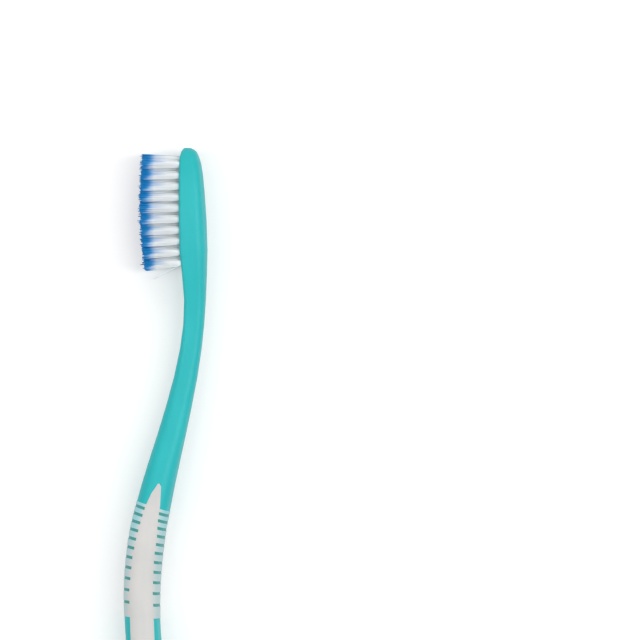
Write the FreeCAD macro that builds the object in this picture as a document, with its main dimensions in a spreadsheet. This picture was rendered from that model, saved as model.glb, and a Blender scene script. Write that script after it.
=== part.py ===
import FreeCAD, Part
import math
import os
import Sketcher

# A manual toothbrush, lying on its side: a hard moulded handle with its neck and head in
# one piece, a soft grip moulded over it, and forty tufts, each stapled into its own hole
# by a small brass plate. Along the brush, X runs from the tip of the head to the butt.
# The bristles point to -Y, the back of the head faces +Y, and +Z is up.

# Named sizes, in millimetres and degrees
SIZES = {
    # The three stretches of the handle, one after the other
    "head_length": 31.0,
    "neck_length": 51.0,
    "grip_length": 106.0,
    # How far the front line falls behind the tuft face, and how far the belly stands before it
    "face_dip": 1.08,
    "belly_reach": 13.4,
    # Thickness, seen from the side
    "head_thickness": 6.8,
    "neck_thickness": 5.17,
    "grip_thickness": 8.76,
    # Width, seen from the front
    "head_width": 11.0,
    "neck_width": 6.4,
    "grip_width": 13.2,
    # Soft grip: how deep it lies in the handle, and how far it stands proud of it
    "grip_depth": 1.0,
    "grip_proud": 0.1,
    # Side panels of the grip: the least hard rim before them
    "panel_rim": 1.33,
    # Bands: hard bars show between them, from the first, at this place past the neck
    "bar_place": 6.3,
    "bar_pitch": 1.71,
    "bar_thickness": 0.72,
    "bar_first_tilt": 18.5,
    "bar_last_tilt": 7.0,
    "first_band": 1.15,
    "last_band": 3.4,
    "last_band_tilt": 4.0,
    # Field of tufts
    "tuft_start": 2.72,
    "row_pitch": 2.67,
    "column_pitch": 2.3,
    "heel_lean": 3.5,
    # Each hole and its tuft
    "hole_diameter": 1.75,
    "hole_depth": 3.3,
    "tuft_clearance": 0.03,
    "tuft_tip_diameter": 2.4,
    "tuft_edge": 0.25,
    "trim_height": 9.8,
    "heel_trim": 1.0,
    # The brass plate that each tuft is folded round
    "anchor_length": 2.3,
    "anchor_height": 1.6,
    "anchor_thickness": 0.25,
    "anchor_turn": 35.0,
    "tuft_fold": 0.45,
    # How far a cutting shape runs past what it cuts
    "overrun": 2.0,
}

ROWS = 10
BARS = 11
BAR_PITCH_GROWTH = 1.06
TUFT_SIDES = 8

# Cross sections of the handle. Each row gives a section's place along its own stretch,
# the fall of the front line as a share of face_dip, its forward sweep as a share of
# belly_reach, thickness and width as shares of the stretch's own, and the front and
# back corner radii as shares of the section's thickness.
HEAD_SHARES = (
    (0.000, 1.10, 0.000, 0.24, 0.20, 0.30, 0.40),
    (0.013, 0.76, 0.000, 0.42, 0.36, 0.22, 0.40),
    (0.032, 0.46, 0.000, 0.56, 0.53, 0.18, 0.39),
    (0.065, 0.21, 0.000, 0.67, 0.71, 0.15, 0.37),
    (0.116, 0.05, 0.000, 0.77, 0.86, 0.14, 0.35),
    (0.210, 0.00, 0.000, 0.85, 0.95, 0.12, 0.33),
    (0.355, 0.00, 0.000, 0.91, 0.99, 0.12, 0.33),
    (0.580, 0.00, 0.000, 0.98, 1.00, 0.12, 0.33),
    (0.806, 0.13, 0.000, 0.99, 0.96, 0.12, 0.33),
    (1.000, 0.69, 0.000, 0.88, 0.82, 0.13, 0.33),
)
NECK_SHARES = (
    (0.118, 1.12, 0.000, 1.02, 1.07, 0.15, 0.33),
    (0.235, 0.93, 0.000, 0.98, 0.95, 0.19, 0.33),
    (0.353, 0.16, 0.000, 1.02, 0.99, 0.27, 0.33),
    (0.490, 0.00, 0.100, 1.11, 1.08, 0.34, 0.35),
    (0.627, 0.00, 0.243, 1.22, 1.22, 0.39, 0.36),
    (0.765, 0.00, 0.402, 1.35, 1.42, 0.40, 0.37),
    (0.892, 0.00, 0.558, 1.48, 1.63, 0.41, 0.38),
)
GRIP_SHARES = (
    (0.000, 0.00, 0.683, 0.93, 0.87, 0.41, 0.38),
    (0.066, 0.00, 0.826, 0.99, 0.95, 0.42, 0.39),
    (0.099, 0.00, 0.885, 1.00, 0.98, 0.42, 0.39),
    (0.132, 0.00, 0.929, 1.01, 0.99, 0.42, 0.39),
    (0.165, 0.00, 0.961, 1.01, 1.00, 0.42, 0.40),
    (0.198, 0.00, 0.985, 1.01, 1.00, 0.42, 0.40),
    (0.231, 0.00, 0.998, 1.00, 1.00, 0.42, 0.40),
    (0.264, 0.00, 1.000, 0.99, 1.00, 0.42, 0.40),
    (0.302, 0.00, 0.991, 0.98, 1.00, 0.42, 0.40),
    (0.340, 0.00, 0.976, 0.98, 1.00, 0.42, 0.40),
    (0.382, 0.00, 0.950, 0.98, 0.99, 0.42, 0.40),
    (0.425, 0.00, 0.917, 0.97, 0.98, 0.42, 0.40),
    (0.519, 0.00, 0.826, 0.94, 0.95, 0.42, 0.40),
    (0.623, 0.00, 0.711, 0.92, 0.90, 0.42, 0.40),
    (0.736, 0.00, 0.582, 0.89, 0.86, 0.42, 0.40),
    (0.830, 0.00, 0.489, 0.88, 0.85, 0.42, 0.40),
)
BUTT_SHARES = (
    (0.896, 0.00, 0.430, 0.86, 0.84, 0.42, 0.40),
    (0.934, 0.00, 0.390, 0.82, 0.81, 0.42, 0.40),
    (0.962, 0.00, 0.339, 0.72, 0.71, 0.42, 0.40),
    (0.981, 0.00, 0.276, 0.56, 0.56, 0.42, 0.40),
    (0.993, 0.00, 0.215, 0.39, 0.39, 0.42, 0.40),
    (1.000, 0.00, 0.172, 0.26, 0.26, 0.42, 0.40),
)
# Radius of the crowned back, as a share of the section's width
CROWN_SHARE = 1.1

# Side panels of the grip, a long leaf. Each row gives a section's place along the grip,
# the front line's sweep there, the hard rim before the panel as a share of panel_rim,
# and the panel's height as a share of grip_thickness.
PANEL_SHARES = (
    (-0.003, 0.677, 3.03, 0.04),
    (0.004, 0.692, 2.82, 0.14),
    (0.019, 0.730, 2.37, 0.26),
    (0.047, 0.791, 1.95, 0.40),
    (0.082, 0.855, 1.71, 0.47),
    (0.122, 0.905, 1.37, 0.57),
    (0.165, 0.951, 1.14, 0.60),
    (0.245, 0.991, 0.94, 0.65),
    (0.368, 0.959, 0.94, 0.66),
    (0.509, 0.835, 0.98, 0.62),
    (0.660, 0.664, 1.13, 0.54),
    (0.774, 0.537, 1.58, 0.40),
    (0.830, 0.478, 2.11, 0.22),
    (0.849, 0.459, 2.48, 0.06),
)

# The bars' middles follow the brush's own middle line, from this share of its full
# forward sweep at the first bar to the whole of it at the last
BAR_SWEEP_SHARE = 0.73

# The four columns of tufts: how far to the side in column pitches, and how far each
# starts down the field in row pitches
COLUMN_SHARES = (
    ("left_outer", -1.5, 0.5),
    ("left_inner", -0.5, 0.0),
    ("right_inner", 0.5, 0.0),
    ("right_outer", 1.5, 0.5),
)
# The trim is highest at this share of the field's length
TRIM_PEAK_SHARE = 0.42


doc = FreeCAD.newDocument("Toothbrush")
sheet = doc.addObject("Spreadsheet::Sheet", "Sizes")
for line, (alias, number) in enumerate(SIZES.items(), start=1):
    sheet.set("A%d" % line, alias)
    sheet.set("B%d" % line, str(number))
    sheet.setAlias("B%d" % line, alias)
doc.recompute()


def size(alias, share=1.0):
    """A named size, or a share of it, as an expression."""
    return "Sizes.%s * %.6f" % (alias, share)


def value(expression):
    """The number that an expression comes to."""
    result = sheet.evalExpression(expression)
    return float(getattr(result, "Value", result))


def vector(x, y, z=0.0):
    return FreeCAD.Vector(x, y, z)


NECK_START = size("head_length")
GRIP_START = "(Sizes.head_length + Sizes.neck_length)"
OVERALL_LENGTH = "(Sizes.head_length + Sizes.neck_length + Sizes.grip_length)"
REST_HEIGHT = "(Sizes.grip_width / 2 + Sizes.grip_proud)"
# Half the way between the belly and the back of the head
MIDDLE = "((Sizes.belly_reach + Sizes.grip_proud - Sizes.head_thickness) / 2)"
ORIGIN_SHIFT = "placement(vector(-%s / 2; %s; %s); rotation(0; 0; 0))" % (
    OVERALL_LENGTH, MIDDLE, REST_HEIGHT)


# The nodes of the part, in the order they are written
nodes = []


def node(piece, label):
    """Name a finished piece and set it in the part's own frame."""
    piece.Label = label
    piece.setExpression("Placement", ORIGIN_SHIFT)
    nodes.append(piece)
    return piece


def cross_sketch(name, place):
    """An empty sketch square to the brush: its own X is the brush's Y, its own Y is up."""
    sketch = doc.addObject("Sketcher::SketchObject", name)
    turn = "rotation(vector(1; 1; 1); 120)"
    sketch.setExpression("Placement", "placement(vector(%s; 0; 0); %s)" % (place, turn))
    return sketch


def bind(sketch, kind, elements, expression):
    """Add a dimension to a sketch and tie it to the named sizes."""
    index = sketch.addConstraint(Sketcher.Constraint(kind, *elements, value(expression)))
    sketch.setExpression("Constraints[%d]" % index, expression)


def polygon(sketch, points):
    """A closed outline of straight edges, each corner tied to the named sizes."""
    corners = [vector(value(x), value(y)) for x, y in points]
    count = len(corners)
    edges = [Part.LineSegment(corners[i], corners[(i + 1) % count]) for i in range(count)]
    sketch.addGeometry(edges, False)
    for i in range(count):
        sketch.addConstraint(Sketcher.Constraint("Coincident", i, 2, (i + 1) % count, 1))
    for i, (x, y) in enumerate(points):
        bind(sketch, "DistanceX", (-1, 1, i, 1), x)
        bind(sketch, "DistanceY", (-1, 1, i, 1), y)


# Handle: the cross sections


def stations():
    """Every section of the handle: its place and sizes, as expressions."""
    stretches = (
        ("0", "head_length", "head", HEAD_SHARES),
        (NECK_START, "neck_length", "neck", NECK_SHARES),
        (GRIP_START, "grip_length", "grip", GRIP_SHARES),
        (GRIP_START, "grip_length", "grip", BUTT_SHARES),
    )
    found = []
    for start, length, prefix, rows in stretches:
        for place, dip, sweep, thick, wide, front_corner, back_corner in rows:
            thickness = size(prefix + "_thickness", thick)
            found.append({
                "place": "%s + %s" % (start, size(length, place)),
                "front": "%s - %s" % (size("face_dip", dip), size("belly_reach", sweep)),
                "thickness": thickness,
                "half": size(prefix + "_width", wide / 2),
                "front_corner": "%s * %.6f" % (thickness, front_corner),
                "back_corner": "%s * %.6f" % (thickness, back_corner),
                "crown": size(prefix + "_width", wide * CROWN_SHARE),
            })
    return found


def section(name, station, growth):
    """A closed section: a flat front, straight sides, a crowned back, four round corners."""
    sketch = cross_sketch(name, station["place"])
    front = "%s - (%s)" % (station["front"], growth)
    half = "%s + (%s)" % (station["half"], growth)
    front_corner = "%s + (%s)" % (station["front_corner"], growth)
    back_corner = "%s + (%s)" % (station["back_corner"], growth)
    crown = "%s + (%s)" % (station["crown"], growth)
    crown_middle = "%s + %s - %s" % (station["front"], station["thickness"], station["crown"])

    y_front, z_side, crown_y = value(front), value(half), value(crown_middle)
    r_front, r_back, r_crown = value(front_corner), value(back_corner), value(crown)
    # The back corners' centres: tangent to the side and inside the crown
    z_back = z_side - r_back
    y_back = crown_y + math.sqrt((r_crown - r_back) ** 2 - z_back ** 2)
    turn = math.atan2(z_back, y_back - crown_y)
    y_corner, z_corner = y_front + r_front, z_side - r_front
    quarter = math.pi / 2

    def arc(y, z, radius, start, end):
        circle = Part.Circle(vector(y, z), vector(0, 0, 1), radius)
        return Part.ArcOfCircle(circle, start, end)

    sketch.addGeometry([
        Part.LineSegment(vector(y_front, -z_corner), vector(y_front, z_corner)),
        arc(y_corner, z_corner, r_front, quarter, 2 * quarter),
        Part.LineSegment(vector(y_corner, z_side), vector(y_back, z_side)),
        arc(y_back, z_back, r_back, turn, quarter),
        arc(crown_y, 0, r_crown, -turn, turn),
        arc(y_back, -z_back, r_back, -quarter, -turn),
        Part.LineSegment(vector(y_back, -z_side), vector(y_corner, -z_side)),
        arc(y_corner, -z_corner, r_front, 2 * quarter, 3 * quarter),
    ], False)
    joins = ((0, 2, 1, 2), (1, 1, 2, 1), (2, 2, 3, 2), (3, 1, 4, 2),
             (4, 1, 5, 2), (5, 1, 6, 1), (6, 2, 7, 2), (7, 1, 0, 1))
    for join in joins:
        sketch.addConstraint(Sketcher.Constraint("Tangent", *join))
    sketch.addConstraint(Sketcher.Constraint("Vertical", 0))
    sketch.addConstraint(Sketcher.Constraint("Horizontal", 2))
    sketch.addConstraint(Sketcher.Constraint("Horizontal", 6))
    sketch.addConstraint(Sketcher.Constraint("PointOnObject", 4, 3, -1))
    sketch.addConstraint(Sketcher.Constraint("Equal", 3, 5))
    sketch.addConstraint(Sketcher.Constraint("Symmetric", 2, 1, 6, 2, -1))
    bind(sketch, "Radius", (1,), front_corner)
    bind(sketch, "Radius", (3,), back_corner)
    bind(sketch, "Radius", (4,), crown)
    bind(sketch, "DistanceX", (-1, 1, 0, 1), front)
    bind(sketch, "DistanceX", (-1, 1, 4, 3), crown_middle)
    bind(sketch, "DistanceY", (-1, 1, 2, 1), half)
    return sketch


def loft_through(name, sections):
    """A solid skin, straight from section to section, with its flats kept flat."""
    loft = doc.addObject("Part::Loft", name)
    loft.Sections = sections
    loft.Solid = True
    loft.Ruled = True
    loft.Linearize = True
    doc.recompute()
    return loft


def handle_form(name, rows, growth):
    """The handle's outer form over some of its sections, grown or shrunk all round."""
    sketches = [section("%s_%02d" % (name, i), row, growth) for i, row in enumerate(rows)]
    return loft_through(name, sketches)


all_stations = stations()
neck_end = len(HEAD_SHARES) + len(NECK_SHARES)
grip_stations = all_stations[neck_end - 1:neck_end + len(GRIP_SHARES) + 1]

blank = handle_form("blank", all_stations, "0")
core = handle_form("core", grip_stations, "-Sizes.grip_depth")
cover = handle_form("cover", grip_stations, "Sizes.grip_proud")


# Soft grip: where it lies on the handle


def panel_zone():
    """The leaf of the side panels, right through the grip from side to side."""
    reach = "(Sizes.grip_width / 2 + Sizes.overrun)"
    sketches = []
    for i, (place, sweep, rim, height) in enumerate(PANEL_SHARES):
        where = "%s + %s" % (GRIP_START, size("grip_length", place))
        sketch = cross_sketch("panel_%02d" % i, where)
        low = "%s - %s" % (size("panel_rim", rim), size("belly_reach", sweep))
        high = "%s + %s" % (low, size("grip_thickness", height))
        polygon(sketch, ((low, "-" + reach), (high, "-" + reach), (high, reach), (low, reach)))
        sketches.append(sketch)
    return loft_through("panel_zone", sketches)


def bar_middle(index):
    """Where a bar crosses the brush's middle line, and how far it is tilted."""
    travel = sum(BAR_PITCH_GROWTH ** step for step in range(index))
    share = index / (BARS - 1)
    along = "%s + Sizes.bar_place + %s" % (GRIP_START, size("bar_pitch", travel))
    sweep = BAR_SWEEP_SHARE + (1 - BAR_SWEEP_SHARE) * math.sin(math.pi / 2 * share)
    across = "(Sizes.grip_thickness / 2 - Sizes.belly_reach) * %.6f" % sweep
    tilt = "%s + %s" % (size("bar_first_tilt", 1 - share), size("bar_last_tilt", share))
    return along, across, tilt


def origin_plane(body, role):
    return [plane for plane in body.Origin.OriginFeatures if plane.Role == role][0]


def sleeve_zone():
    """The banded stretch, all round the grip, with slanted ends."""
    body = doc.addObject("PartDesign::Body", "sleeve_zone")
    sketch = body.newObject("Sketcher::SketchObject", "sleeve_outline")
    sketch.AttachmentSupport = [(origin_plane(body, "XY_Plane"), "")]
    sketch.MapMode = "FlatFace"
    first_along, first_across, first_tilt = bar_middle(0)
    last_along, last_across, _ = bar_middle(BARS - 1)
    reach = "(Sizes.grip_thickness / 2 + Sizes.overrun)"
    first_run = "%s * tan(%s)" % (reach, first_tilt)
    last_run = "%s * tan(Sizes.last_band_tilt)" % reach
    first = "%s - Sizes.first_band" % first_along
    last = "%s + Sizes.last_band" % last_along
    polygon(sketch, (
        ("%s - %s" % (first, first_run), "%s - %s" % (first_across, reach)),
        ("%s - %s" % (last, last_run), "%s - %s" % (last_across, reach)),
        ("%s + %s" % (last, last_run), "%s + %s" % (last_across, reach)),
        ("%s + %s" % (first, first_run), "%s + %s" % (first_across, reach)),
    ))
    doc.recompute()
    pad = body.newObject("PartDesign::Pad", "sleeve")
    pad.Profile = sketch
    pad.Midplane = True
    pad.setExpression("Length", "Sizes.grip_width + 2 * Sizes.overrun")
    body.Tip = pad
    doc.recompute()
    return body


def bar(index):
    """One hard bar between two bands, from the front of the grip to its back."""
    along, across, tilt = bar_middle(index)
    box = doc.addObject("Part::Box", "bar_%02d" % (index + 1))
    reach = "(Sizes.grip_thickness / 2 + 2 * Sizes.overrun)"
    box.setExpression("Length", "Sizes.bar_thickness")
    box.setExpression("Width", "2 * " + reach)
    box.setExpression("Height", "Sizes.grip_width + 4 * Sizes.overrun")
    middle = "placement(vector(%s; %s; 0); rotation(vector(0; 0; 1); -(%s)))" % (
        along, across, tilt)
    corner = "placement(vector(-Sizes.bar_thickness / 2; -%s; -Sizes.grip_width / 2 - %s); %s)" % (
        reach, "2 * Sizes.overrun", "rotation(0; 0; 0)")
    box.setExpression("Placement", "%s * %s" % (middle, corner))
    return box


def compound(name, pieces):
    group = doc.addObject("Part::Compound", name)
    group.Links = pieces
    return group


def cut(name, base, tool):
    result = doc.addObject("Part::Cut", name)
    result.Base = base
    result.Tool = tool
    return result


bars = compound("bars", [bar(index) for index in range(BARS)])
bands = cut("bands", sleeve_zone(), bars)
grip_zone = doc.addObject("Part::Fuse", "grip_zone")
grip_zone.Base = bands
grip_zone.Tool = panel_zone()
recess = cut("recess", grip_zone, core)
doc.recompute()

soft_grip = doc.addObject("Part::Common", "grip_shell")
soft_grip.Base = cover
soft_grip.Tool = recess


# Tufts, their holes and their anchors


def tuft_places():
    """Each tuft's name, its place on the face, its lean and its trimmed height."""
    field_end = ROWS - 1 + max(stagger for _, _, stagger in COLUMN_SHARES)
    found = []
    for column, side, stagger in COLUMN_SHARES:
        for row in range(ROWS):
            step = row + stagger
            share = step / field_end
            lean_share = max(0.0, 2 * share - 1) ** 2
            trim_share = ((share - TRIM_PEAK_SHARE) / (1 - TRIM_PEAK_SHARE)) ** 2
            along = "Sizes.tuft_start + %s" % size("row_pitch", step)
            across = size("column_pitch", side)
            lean = size("heel_lean", lean_share)
            place = "placement(vector(%s; 0; %s); rotation(vector(0; 0; 1); %s))" % (
                along, across, lean)
            height = "(Sizes.trim_height - %s)" % size("heel_trim", trim_share)
            found.append(("tuft_%s_%02d" % (column, row + 1), place, height))
    return found


def hole(name, place):
    """The blind hole for one tuft, from before the face down into the head."""
    drill = doc.addObject("Part::Cylinder", name + "_hole")
    drill.setExpression("Radius", "Sizes.hole_diameter / 2")
    drill.setExpression("Height", "Sizes.hole_depth + Sizes.overrun")
    start = "placement(vector(0; -Sizes.overrun; 0); rotation(vector(1; 0; 0); -90))"
    drill.setExpression("Placement", "%s * %s" % (place, start))
    return drill


def anchor(name, place):
    """The brass plate across a hole, wider than it, so that its ends bite into the head."""
    plate = doc.addObject("Part::Box", name + "_anchor")
    plate.setExpression("Length", "Sizes.anchor_length")
    plate.setExpression("Width", "Sizes.anchor_height")
    plate.setExpression("Height", "Sizes.anchor_thickness")
    turn = "placement(vector(0; 0; 0); rotation(vector(0; 1; 0); Sizes.anchor_turn))"
    corner = "placement(vector(%s; %s; %s); rotation(0; 0; 0))" % (
        "-Sizes.anchor_length / 2",
        "Sizes.hole_depth - Sizes.tuft_fold - Sizes.anchor_height",
        "-Sizes.anchor_thickness / 2")
    plate.setExpression("Placement", "%s * %s * %s" % (place, turn, corner))
    return plate


def tuft(name, place, height, plate):
    """A many-sided bundle: straight in its hole, wider at the tips, folded round its plate."""
    root = "Sizes.hole_diameter / 2 - Sizes.tuft_clearance"
    tip = "Sizes.tuft_tip_diameter / 2"
    outline = (
        (root, "Sizes.hole_depth"),
        (root, "0"),
        (tip, "Sizes.tuft_edge - " + height),
        (tip + " - Sizes.tuft_edge", "-" + height),
    )
    rings = []
    for i, (radius, depth) in enumerate(outline):
        ring = doc.addObject("Part::RegularPolygon", "%s_ring_%d" % (name, i + 1))
        ring.Polygon = TUFT_SIDES
        ring.setExpression("Circumradius", radius)
        spot = "placement(vector(0; %s; 0); rotation(vector(1; 0; 0); -90))" % depth
        ring.setExpression("Placement", "%s * %s" % (place, spot))
        rings.append(ring)
    bundle = loft_through(name + "_bundle", rings)
    return node(cut(name + "_cut", bundle, plate), name)


holes = []
plates = []
for tuft_name, tuft_place, tuft_height in tuft_places():
    holes.append(hole(tuft_name, tuft_place))
    plates.append(anchor(tuft_name, tuft_place))
    tuft(tuft_name, tuft_place, tuft_height, plates[-1])

moulded = cut("moulded", blank, recess)
drilled = cut("drilled", moulded, compound("holes", holes))
anchor_group = compound("anchor_group", plates)
slotted = cut("slotted", drilled, anchor_group)
node(slotted, "handle_body")
node(soft_grip, "soft_grip")
node(compound("plates", plates), "anchor_plates")
doc.recompute()


# Check every object, then write one file for each piece

for item in doc.Objects:
    if "Invalid" in item.State or "Error" in item.State:
        raise RuntimeError("%s was not built: %s" % (item.Label, item.State))
for piece in nodes:
    if piece.Shape.isNull() or not piece.Shape.isValid() or piece.Shape.Volume <= 0:
        raise RuntimeError("%s has no sound shape" % piece.Label)

os.makedirs("parts", exist_ok=True)
for piece in nodes:
    piece.Shape.exportStep("parts/%s.step" % piece.Label)
    if not piece.Label.startswith("tuft"):
        print(piece.Label, len(piece.Shape.Solids), "solids", round(piece.Shape.Volume, 1), "mm3")
print(len(nodes), "pieces written")
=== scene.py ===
import math
import random

import bpy
from mathutils import Matrix, Vector


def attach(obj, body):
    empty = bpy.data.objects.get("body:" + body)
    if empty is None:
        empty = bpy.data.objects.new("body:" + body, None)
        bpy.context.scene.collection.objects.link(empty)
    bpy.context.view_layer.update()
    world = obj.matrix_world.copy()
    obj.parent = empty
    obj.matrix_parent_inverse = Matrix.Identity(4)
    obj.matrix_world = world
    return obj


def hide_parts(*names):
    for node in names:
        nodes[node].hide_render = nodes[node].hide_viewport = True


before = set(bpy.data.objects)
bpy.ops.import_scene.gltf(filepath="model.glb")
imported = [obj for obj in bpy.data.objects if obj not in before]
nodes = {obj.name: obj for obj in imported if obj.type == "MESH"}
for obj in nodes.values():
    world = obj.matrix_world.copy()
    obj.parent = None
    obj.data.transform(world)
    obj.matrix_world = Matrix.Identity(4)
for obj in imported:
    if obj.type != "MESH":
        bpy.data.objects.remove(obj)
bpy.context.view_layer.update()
bpy.ops.object.select_all(action="DESELECT")


# Viewpoint
# The brush lies on its side, and the picture looks straight down on it from far away,
# with the head at the top and the butt below the lower edge.

# In metres: the height of the brush's middle, and the place, distance and width of the view
# at that height. The sensor is in millimetres.
LYING_HEIGHT = 0.0067
VIEW_CENTRE = (-0.05205, 0.037645)
VIEW_DISTANCE = 1.2
VIEW_WIDTH = 0.1561
SENSOR_WIDTH = 36

bpy.ops.object.camera_add(
    location=(*VIEW_CENTRE, LYING_HEIGHT + VIEW_DISTANCE), rotation=(0, 0, math.radians(90)))
camera = bpy.context.object
camera.name = "viewpoint"
camera.data.sensor_width = SENSOR_WIDTH
camera.data.lens = SENSOR_WIDTH * VIEW_DISTANCE / VIEW_WIDTH
camera.data.clip_end = 10
bpy.context.scene.camera = camera
bpy.context.scene.view_settings.view_transform = "Standard"


# Handle
# Head, neck and grip core are one injection moulding in glossy turquoise polypropylene.
# Its form is the imported solid's own, with the drilled face and the recess for the soft
# grip, so only its creases are split for clean shading, and it gets its plastic. Along the
# run of the grip's bands that plastic is darkened with painted shade.

CREASE_ANGLE = 42
WELD_REACH = 0.000002
HANDLE_COLOUR = (0.014, 0.520, 0.536)
HANDLE_DEEP = (0.010, 0.480, 0.502)
# Painted shade: the darker, greyer turquoise that the plastic is mixed towards along the grip's
# bands
GROOVE_PAINTED_SHADE = (0.060, 0.345, 0.330)
# Places along the brush, in millimetres, and how much painted shade darkens the plastic
# there: it starts under the first band of the grip and ends under the last
GROOVE_SHADE_SPAN = ((-5.6, 0.0), (-5.3, 1.0), (20.6, 1.0), (20.9, 0.0))
# How far those ends lean along the brush for each millimetre across it
GROOVE_SLANT = 0.3
# Least and greatest roughness, and how deep the relief is, in metres
HANDLE_ROUGHNESS = (0.42, 0.52)
RELIEF_DEPTH = 0.00002
# What a grain's noise mostly runs between
GRAIN_RANGE = (0.3, 0.7)


def crisp_creases(piece):
    """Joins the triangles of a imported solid, and splits its shading at the creases."""
    weld = piece.modifiers.new("weld", "WELD")
    weld.merge_threshold = WELD_REACH
    crease = piece.modifiers.new("crease", "EDGE_SPLIT")
    crease.split_angle = math.radians(CREASE_ANGLE)
    crease.use_edge_sharp = False
    piece.modifiers.new("even", "WEIGHTED_NORMAL")


def new_material(name):
    """A node material, with its tree and its shader."""
    material = bpy.data.materials.new(name)
    material.use_nodes = True
    tree = material.node_tree
    return material, tree, tree.nodes["Principled BSDF"]


def add_node(tree, kind, **settings):
    """A new node with its settings."""
    found = tree.nodes.new(kind)
    for key, setting in settings.items():
        setattr(found, key, setting)
    return found


def grain(tree, scale, detail=2.0, stretch=(1, 1, 1)):
    """Fine unevenness in the object's own coordinates, features of 1 / scale metres."""
    place = add_node(tree, "ShaderNodeTexCoord")
    turn = add_node(tree, "ShaderNodeMapping")
    turn.inputs["Scale"].default_value = stretch
    noise = add_node(tree, "ShaderNodeTexNoise")
    noise.inputs["Scale"].default_value = scale
    noise.inputs["Detail"].default_value = detail
    tree.links.new(place.outputs["Object"], turn.inputs["Vector"])
    tree.links.new(turn.outputs["Vector"], noise.inputs["Vector"])
    return noise.outputs["Fac"]


def between(tree, factor, low, high):
    """A number that runs from low to high as a grain does over its usual range."""
    found = add_node(tree, "ShaderNodeMapRange")
    found.inputs["From Min"].default_value = GRAIN_RANGE[0]
    found.inputs["From Max"].default_value = GRAIN_RANGE[1]
    found.inputs["To Min"].default_value = low
    found.inputs["To Max"].default_value = high
    tree.links.new(factor, found.inputs["Value"])
    return found.outputs["Result"]


def blend_colours(tree, factor, first, second, how="MIX"):
    """Two colours mixed by a factor. Each is a plain colour or another node's output."""
    found = add_node(tree, "ShaderNodeMix", data_type="RGBA", blend_type=how)
    if isinstance(factor, float):
        found.inputs["Factor"].default_value = factor
    else:
        tree.links.new(factor, found.inputs["Factor"])
    # A mix node's colours are its seventh and eighth inputs and its third output
    for socket, colour in zip(found.inputs[6:8], (first, second)):
        if isinstance(colour, tuple):
            socket.default_value = (*colour, 1)
        else:
            tree.links.new(colour, socket)
    return found.outputs[2]


def ripple(tree, shader, height, strength):
    """Fine relief on the surface."""
    found = add_node(tree, "ShaderNodeBump")
    found.inputs["Strength"].default_value = strength
    found.inputs["Distance"].default_value = RELIEF_DEPTH
    tree.links.new(height, found.inputs["Height"])
    tree.links.new(found.outputs["Normal"], shader.inputs["Normal"])


def number(tree, operation, *values):
    """One step of arithmetic on plain numbers or other nodes' outputs."""
    found = add_node(tree, "ShaderNodeMath", operation=operation)
    for socket, given in zip(found.inputs, values):
        if isinstance(given, (int, float)):
            socket.default_value = given
        else:
            tree.links.new(given, socket)
    return found.outputs["Value"]


def millimetres(tree):
    """Places along the brush, and across it towards the back of the head."""
    place = add_node(tree, "ShaderNodeTexCoord")
    parts = add_node(tree, "ShaderNodeSeparateXYZ")
    tree.links.new(place.outputs["Object"], parts.inputs["Vector"])
    return [number(tree, "MULTIPLY", parts.outputs[axis], 1000) for axis in ("X", "Y")]


def profile(tree, along, points):
    """A line through points, each a place along the brush and a value there."""
    first, last = points[0][0], points[-1][0]
    low = min(height for _, height in points)
    high = max(height for _, height in points)
    share = number(tree, "DIVIDE", number(tree, "SUBTRACT", along, first), last - first)
    curve = add_node(tree, "ShaderNodeFloatCurve")
    line = curve.mapping.curves[0]
    for place, height in points[1:-1]:
        line.points.new((place - first) / (last - first), (height - low) / (high - low))
    line.points[0].location = (0, (points[0][1] - low) / (high - low))
    line.points[len(points) - 1].location = (1, (points[-1][1] - low) / (high - low))
    curve.mapping.update()
    tree.links.new(share, curve.inputs["Value"])
    return number(tree, "MULTIPLY_ADD", curve.outputs["Value"], high - low, low)


def polypropylene():
    """Glossy moulded plastic: faint flow marks, an even gloss and a slight orange peel."""
    material, tree, shader = new_material("turquoise_polypropylene")
    flow = grain(tree, 60, 3, (1, 3, 3))
    open_colour = blend_colours(tree, between(tree, flow, 0, 1), HANDLE_COLOUR, HANDLE_DEEP)
    along, across = millimetres(tree)
    # Painted shade: along the grip's bands the plastic is mixed towards a darker colour
    slanted = number(tree, "SUBTRACT", along, number(tree, "MULTIPLY", across, GROOVE_SLANT))
    colour = blend_colours(tree, profile(tree, slanted, GROOVE_SHADE_SPAN), open_colour, GROOVE_PAINTED_SHADE)
    tree.links.new(colour, shader.inputs["Base Color"])
    roughness = between(tree, grain(tree, 900), *HANDLE_ROUGHNESS)
    tree.links.new(roughness, shader.inputs["Roughness"])
    shader.inputs["IOR"].default_value = 1.49
    shader.inputs["Specular IOR Level"].default_value = 0.4
    ripple(tree, shader, grain(tree, 500), 0.12)
    return material


handle = nodes["handle_body"]
crisp_creases(handle)
handle.data.materials.clear()
handle.data.materials.append(polypropylene())


# Soft grip
# One off-white elastomer moulding, made over the handle in a second shot: a leaf on each
# side, and twelve bands round the front and the back with the hard bars between them.
# The bands are thin, so that the turquoise under them shines through a little.

GRIP_COLOUR = (0.690, 0.683, 0.665)
GRIP_SHADE = (0.630, 0.630, 0.615)
BAND_COLOUR = (0.330, 0.700, 0.760)
# The side leaf, from the neck towards the butt, in millimetres: place along the brush,
# then the leaf's front and back edges
LEAF = (
    (-12, -1.7, -1.3), (-10, -3.3, -1.0), (-7, -4.7, -1.1), (-3, -5.9, -1.7),
    (1, -7.0, -2.0), (5.5, -7.9, -2.6), (14, -8.7, -3.0), (27, -8.3, -2.5),
)
# From just inside the leaf's edge to this far outside it, in millimetres, a band thins out
BAND_FADE = (-0.3, 1.2)
# From the first band to the last, how much of the turquoise shines through
BAND_TINT = ((-8, 1.0), (-3, 0.85), (3, 0.55), (10, 0.45), (22, 0.38))
GRIP_ROUGHNESS = (0.55, 0.68)


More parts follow.
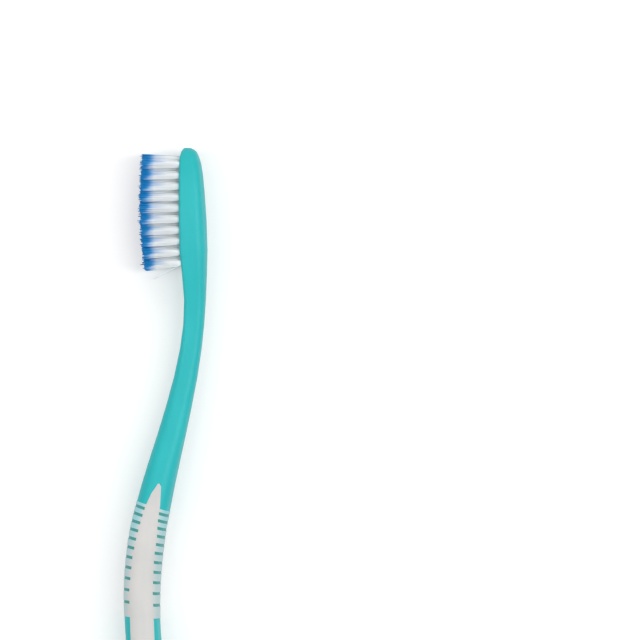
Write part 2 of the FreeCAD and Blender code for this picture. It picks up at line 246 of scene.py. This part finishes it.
def band_share(tree):
    """How much of a band's own tint shows: none on the leaf, more away from it."""
    along, across = millimetres(tree)
    front = profile(tree, along, [(spot, low) for spot, low, _ in LEAF])
    back = profile(tree, along, [(spot, high) for spot, _, high in LEAF])
    outside = number(
        tree, "MAXIMUM", number(tree, "SUBTRACT", front, across),
        number(tree, "SUBTRACT", across, back))
    faded = add_node(tree, "ShaderNodeMapRange", interpolation_type="SMOOTHSTEP")
    faded.inputs["From Min"].default_value = BAND_FADE[0]
    faded.inputs["From Max"].default_value = BAND_FADE[1]
    tree.links.new(outside, faded.inputs["Value"])
    return number(tree, "MULTIPLY", faded.outputs["Result"], profile(tree, along, BAND_TINT))


def elastomer():
    """Off-white elastomer: matt, soft to the light, with a fine even grain."""
    material, tree, shader = new_material("white_elastomer")
    cloud = grain(tree, 90, 3)
    plain = blend_colours(tree, between(tree, cloud, 0, 1), GRIP_COLOUR, GRIP_SHADE)
    colour = blend_colours(tree, band_share(tree), plain, BAND_COLOUR)
    tree.links.new(colour, shader.inputs["Base Color"])
    roughness = between(tree, grain(tree, 1500), *GRIP_ROUGHNESS)
    tree.links.new(roughness, shader.inputs["Roughness"])
    shader.inputs["Sheen Weight"].default_value = 0.08
    ripple(tree, shader, grain(tree, 2500), 0.2)
    return material


grip = nodes["soft_grip"]
crisp_creases(grip)
grip.data.materials.clear()
grip.data.materials.append(elastomer())


# Anchor plates
# Forty small brass plates, stamped from strip. Each holds one tuft down in its hole, and
# its ends bite into the plastic, so none shows on a whole brush.

BRASS_COLOUR = (0.74, 0.52, 0.22)
BRASS_DULL = (0.55, 0.37, 0.15)
BRASS_ROUGHNESS = (0.25, 0.45)


def brass():
    """Rolled brass strip, with the roll marks along it and a little tarnish."""
    material, tree, shader = new_material("rolled_brass")
    marks = grain(tree, 3000, 2, (1, 8, 1))
    colour = blend_colours(tree, between(tree, marks, 0, 1), BRASS_COLOUR, BRASS_DULL)
    tree.links.new(colour, shader.inputs["Base Color"])
    tree.links.new(between(tree, marks, *BRASS_ROUGHNESS), shader.inputs["Roughness"])
    shader.inputs["Metallic"].default_value = 1.0
    return material


plates = nodes["anchor_plates"]
crisp_creases(plates)
plates.data.materials.clear()
plates.data.materials.append(brass())


# Tufts
# Forty bundles of white nylon filaments. Each filament is folded in half round the plate
# at the bottom of its hole, and its two free ends are trimmed, rounded, and dyed blue.
# All sizes here are in millimetres, from the tuft face and the tip of the head.

ROWS = 10
TUFT_START = 2.72
ROW_PITCH = 2.67
# Each column's name, its place to the side, and how many rows further down it starts
COLUMNS = (
    ("left_outer", -3.45, 0.5), ("left_inner", -1.15, 0.0),
    ("right_inner", 1.15, 0.0), ("right_outer", 3.45, 0.5),
)
# From the middle of the field on, the tufts lean more and more, up to this many degrees
HEEL_LEAN = 5.0
LEAN_CURVE = 1.3
# The trim is highest at its peak, a share of the way down the field, and falls to the heel
TRIM_HEIGHT = 9.8
HEEL_TRIM = 1.0
TRIM_PEAK = 0.42
# The tip of the head, on the tuft face, in the brush's own frame
FACE_POINT = Vector((-94.0, 3.35, 6.7))

# The brass plate across each hole: half its thickness, its lower edge and its turn
PLATE_HALF = 0.125
PLATE_FOOT = 2.85
PLATE_TURN = 35
# In the hole the filaments are packed in staggered lines beside the plate. The first line
# stands off the hole's middle by a share of their pitch, and the lines spread from there.
FILAMENT_RADIUS = 0.1
FILAMENT_PITCH = 0.212
BUNDLE_RADIUS = 0.75
FIRST_LINE = 0.42
NEAREST_LINE = 0.09
PLATE_GAP = 0.02
LINE_SPREAD = 0.5
# How far below the plate's edge a filament folds round it, and how far above that edge
# its legs begin to close
FOLD_REACH = (0.12, 0.34)
FOOT_CLEARANCE = 0.1

# Out of the hole a bundle flares quickly at first, and its filaments scatter
FLARE = 0.56
FLARE_CURVE = 0.35
SPLAY = 0.07
SPLAY_CURVE = 1.4
# A tip narrows over its length to a share of the filament's thickness
TIP_LENGTH = 0.12
TIP_SHARE = 0.55
# Places down a filament's leg, as shares of its reach: closest where the bundle flares most
LEG_SHARES = (0.66, 0.33, 0.12, 0.04, 0.0)
# How far a filament ends from the trim: its mean, its scatter, and its limits
TRIM_OFFSET = (-0.5, 0.25)
TRIM_LIMITS = (-1.1, 0.2)
# A few filaments are a little longer, and each outer heel tuft has one that strays
LONG_SHARE = 0.06
LONG_EXTRA = (0.2, 0.6)
STRAY_SPLAY = 2.3
STRAY_REACH = 6.8
STRAY_CURVE = 1.1

# How far down the dye reaches, at most and at least, and how much that varies. It is less
# on the side towards the heel, past an edge whose place differs from tuft to tuft.
DYE_LENGTH = 4.4
DYE_LEAST = 0.6
DYE_SCATTER = 0.25
DYE_SLANT = 0.62
DYE_EDGE = (-0.35, 0.05)
DYE_EDGE_WIDTH = 0.7
NYLON_COLOUR = (0.950, 0.985, 1.000)
NYLON_SHADE = (0.910, 0.950, 0.980)
NYLON_ROUGHNESS = (0.32, 0.44)
# What the dye leaves of the white, from where it ends to the tip
DYE_COLOURS = (
    (0.00, (1.00, 1.00, 1.00)), (0.16, (0.72, 0.80, 0.95)), (0.28, (0.46, 0.66, 0.89)),
    (0.40, (0.18, 0.45, 0.80)), (0.50, (0.04, 0.31, 0.70)), (0.64, (0.00, 0.25, 0.62)),
    (1.00, (0.00, 0.21, 0.53)),
)


def nylon():
    """White nylon, dyed blue at the tips: a strong blue that fades out down the filament."""
    material, tree, shader = new_material("tipped_nylon")
    dye = add_node(tree, "ShaderNodeAttribute", attribute_name="dye")
    tone = add_node(tree, "ShaderNodeAttribute", attribute_name="tone")
    white = blend_colours(tree, tone.outputs["Fac"], NYLON_SHADE, NYLON_COLOUR)
    ramp = add_node(tree, "ShaderNodeValToRGB")
    tree.links.new(dye.outputs["Fac"], ramp.inputs["Fac"])
    stops = ramp.color_ramp.elements
    for stop, (position, colour) in zip(stops, (DYE_COLOURS[0], DYE_COLOURS[-1])):
        stop.position = position
        stop.color = (*colour, 1)
    for position, colour in DYE_COLOURS[1:-1]:
        stop = stops.new(position)
        stop.color = (*colour, 1)
    tinted = blend_colours(tree, 1.0, white, ramp.outputs["Color"], "MULTIPLY")
    tree.links.new(tinted, shader.inputs["Base Color"])
    roughness = between(tree, grain(tree, 4000), *NYLON_ROUGHNESS)
    tree.links.new(roughness, shader.inputs["Roughness"])
    shader.inputs["IOR"].default_value = 1.53
    shader.inputs["Specular IOR Level"].default_value = 0.2
    return material


def limited(given, low, high):
    """A number kept between two limits."""
    return max(low, min(high, given))


def packed_pairs():
    """Where the two legs of each filament stand in the hole: along and off the plate."""
    pairs = []
    reach = int(BUNDLE_RADIUS / FILAMENT_PITCH) + 2
    nearest = PLATE_HALF + FILAMENT_RADIUS + PLATE_GAP
    for line in range(reach + 1):
        off = FILAMENT_PITCH * (line * math.sqrt(3) / 2 + FIRST_LINE)
        for step in range(-reach, reach + 1):
            along = FILAMENT_PITCH * (step + 0.5 * (line % 2))
            if math.hypot(along, off) <= BUNDLE_RADIUS:
                spread = (off - NEAREST_LINE) / (BUNDLE_RADIUS - NEAREST_LINE)
                pairs.append((along, nearest + LINE_SPREAD * spread))
    return pairs


def filament_points(draw, along, off, height, stray):
    """One folded filament, from tip to tip. Across the hole in x and z, outwards in y."""
    turn = math.radians(PLATE_TURN)
    legs = []
    for side in (1, -1):
        x = along * math.cos(turn) + side * off * math.sin(turn)
        z = -along * math.sin(turn) + side * off * math.cos(turn)
        splay_x, splay_z = draw.gauss(0, SPLAY), draw.gauss(0, SPLAY)
        reach = height + limited(draw.gauss(*TRIM_OFFSET), *TRIM_LIMITS)
        if draw.random() < LONG_SHARE:
            reach += draw.uniform(*LONG_EXTRA)
        if stray and side == 1:
            splay_x, splay_z, reach = STRAY_SPLAY, 0, STRAY_REACH
        heights = [reach, reach - TIP_LENGTH] + [reach * share for share in LEG_SHARES]
        leg = []
        for up in heights:
            part = max(0.0, up / reach)
            wide = 1 + FLARE * part ** FLARE_CURVE
            bend = part ** (STRAY_CURVE if stray else SPLAY_CURVE)
            leg.append(Vector((x * wide + splay_x * bend, up, z * wide + splay_z * bend)))
        leg.append(Vector((x, FOOT_CLEARANCE - PLATE_FOOT, z)))
        legs.append(leg)
    middle = (legs[0][-1] + legs[1][-1]) / 2
    fold = Vector((middle.x, -PLATE_FOOT - draw.uniform(*FOLD_REACH), middle.z))
    return legs[0] + [fold] + legs[1][::-1]


def strand(name, points):
    """One filament as a round line through its points, narrowed at both tips."""
    line = bpy.data.curves.new(name, "CURVE")
    line.dimensions = "3D"
    line.bevel_depth = FILAMENT_RADIUS / 1000
    line.bevel_resolution = 1
    line.use_fill_caps = True
    run = line.splines.new("POLY")
    run.points.add(len(points) - 1)
    for point, place in zip(run.points, points):
        point.co = (*place, 1)
    run.points[0].radius = run.points[-1].radius = TIP_SHARE
    found = bpy.data.objects.new(name, line)
    bpy.context.scene.collection.objects.link(found)
    found.select_set(True)
    return found


def dye_strand(mesh, draw, edge, height, into_tuft, plain):
    """Marks how dark the dye is at each point of a filament, and the filament's own tone."""
    half_width = BUNDLE_RADIUS * (1 + FLARE)
    tone = draw.random()
    uptake = draw.gauss(0, DYE_SCATTER)
    dye = mesh.attributes.new("dye", "FLOAT", "POINT")
    shade = mesh.attributes.new("tone", "FLOAT", "POINT")
    for vertex in mesh.vertices:
        spot = into_tuft @ (vertex.co * 1000)
        side = limited((spot.x / half_width - edge) / DYE_EDGE_WIDTH, 0.0, 1.0)
        length = 0 if plain else DYE_LENGTH * (1 - DYE_SLANT * side) + uptake
        depth = height - spot.y
        dye.data[vertex.index].value = limited(1 - depth / max(length, DYE_LEAST), 0.0, 1.0)
        shade.data[vertex.index].value = tone


def tuft(name, along, across, lean, height, has_stray):
    """One tuft of folded filaments, standing in its hole, as one mesh."""
    draw = random.Random(name)
    # Outwards is -Y, and the lean turns the tips towards the butt
    stand = (Matrix.Translation(FACE_POINT + Vector((along, 0, across)))
             @ Matrix.Rotation(math.radians(lean), 4, "Z")
             @ Matrix.Diagonal((1, -1, 1, 1)))
    bpy.ops.object.select_all(action="DESELECT")
    strands = []
    undyed = []
    pairs = packed_pairs()
    for pair in pairs:
        stray = has_stray and pair == max(pairs)
        points = filament_points(draw, *pair, height, stray)
        strands.append(strand(name + "_filament", [stand @ spot / 1000 for spot in points]))
        undyed.append(stray)
    bpy.context.view_layer.objects.active = strands[0]
    bpy.ops.object.convert(target="MESH")
    edge = draw.uniform(*DYE_EDGE)
    for found, plain in zip(strands, undyed):
        dye_strand(found.data, draw, edge, height, stand.inverted(), plain)
    bpy.ops.object.join()
    piece = bpy.context.object
    piece.name = name + "_filaments"
    bpy.ops.object.mode_set(mode="EDIT")
    bpy.ops.mesh.select_all(action="SELECT")
    bpy.ops.mesh.remove_doubles(threshold=0.000001)
    bpy.ops.object.mode_set(mode="OBJECT")
    bpy.ops.object.shade_smooth_by_angle(angle=math.radians(50))
    piece.data.materials.clear()
    piece.data.materials.append(tuft_nylon)
    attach(piece, "root")
    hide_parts(name)


tuft_nylon = nylon()
for column, across, stagger in COLUMNS:
    for row in range(ROWS):
        step = row + stagger
        share = step / (ROWS - 0.5)
        lean = HEEL_LEAN * max(0.0, 2 * share - 1) ** LEAN_CURVE
        height = TRIM_HEIGHT - HEEL_TRIM * ((share - TRIM_PEAK) / (1 - TRIM_PEAK)) ** 2
        along = TUFT_START + ROW_PITCH * step
        name = "tuft_%s_%02d" % (column, row + 1)
        tuft(name, along, across, lean, height, row == ROWS - 1 and stagger > 0)


# Floor and light
# A plain pale floor and a wide even sky. Two long strip lamps stand across the brush, so
# that light reaches down between the tufts, and a third lamp stands beyond the head. All
# are low enough that a colour renders about as it is written.

# How pale the floor is, and what the picture adds to it so that it comes out white
FLOOR_SHADE = (0.74, 0.74, 0.74)
FLOOR_GLOW = 0.36
SKY_STRENGTH = 0.49
# Each lamp's place, its width along the brush, its length across it, and its power
LAMPS = (
    ("key_lamp", (-0.075, 0.60, 0.98), 0.22, 1.0, 5.0),
    ("fill_lamp", (-0.075, -0.60, 0.95), 0.22, 1.0, 2.9),
    ("head_lamp", (-0.90, 0.15, 0.70), 0.60, 0.6, 1.5),
)
LAMP_AIM = Vector((-0.075, 0, 0))

bpy.ops.object.select_all(action="DESELECT")
bpy.ops.mesh.primitive_plane_add(size=4, location=(0, 0, 0))
floor = bpy.context.object
floor.name = "floor"


def floor_paint():
    """White floor: seen by the camera it is close to white, and it keeps the shadow."""
    material, tree, shader = new_material("floor_paint")
    shader.inputs["Base Color"].default_value = (*FLOOR_SHADE, 1)
    shader.inputs["Roughness"].default_value = 0.9
    shader.inputs["Specular IOR Level"].default_value = 0.0
    path = add_node(tree, "ShaderNodeLightPath")
    glow = add_node(tree, "ShaderNodeEmission")
    both = add_node(tree, "ShaderNodeAddShader")
    seen = number(tree, "MAXIMUM", path.outputs["Is Camera Ray"], path.outputs["Is Glossy Ray"])
    seen = number(tree, "MAXIMUM", seen, path.outputs["Is Transmission Ray"])
    tree.links.new(number(tree, "MULTIPLY", seen, FLOOR_GLOW), glow.inputs["Strength"])
    tree.links.new(shader.outputs["BSDF"], both.inputs[0])
    tree.links.new(glow.outputs["Emission"], both.inputs[1])
    output = tree.nodes["Material Output"]
    tree.links.new(both.outputs["Shader"], output.inputs["Surface"])
    return material


floor.data.materials.append(floor_paint())

sky = bpy.data.worlds.new("studio")
bpy.context.scene.world = sky
sky.use_nodes = True
sky.node_tree.nodes["Background"].inputs["Color"].default_value = (1, 1, 1, 1)
sky.node_tree.nodes["Background"].inputs["Strength"].default_value = SKY_STRENGTH

for name, place, width, length, power in LAMPS:
    bpy.ops.object.light_add(type="AREA", location=place)
    lamp = bpy.context.object
    lamp.name = name
    lamp.data.shape = "RECTANGLE"
    lamp.data.size = width
    lamp.data.size_y = length
    lamp.data.energy = power
    aim = LAMP_AIM - Vector(place)
    lamp.rotation_euler = aim.to_track_quat("-Z", "Y").to_euler()
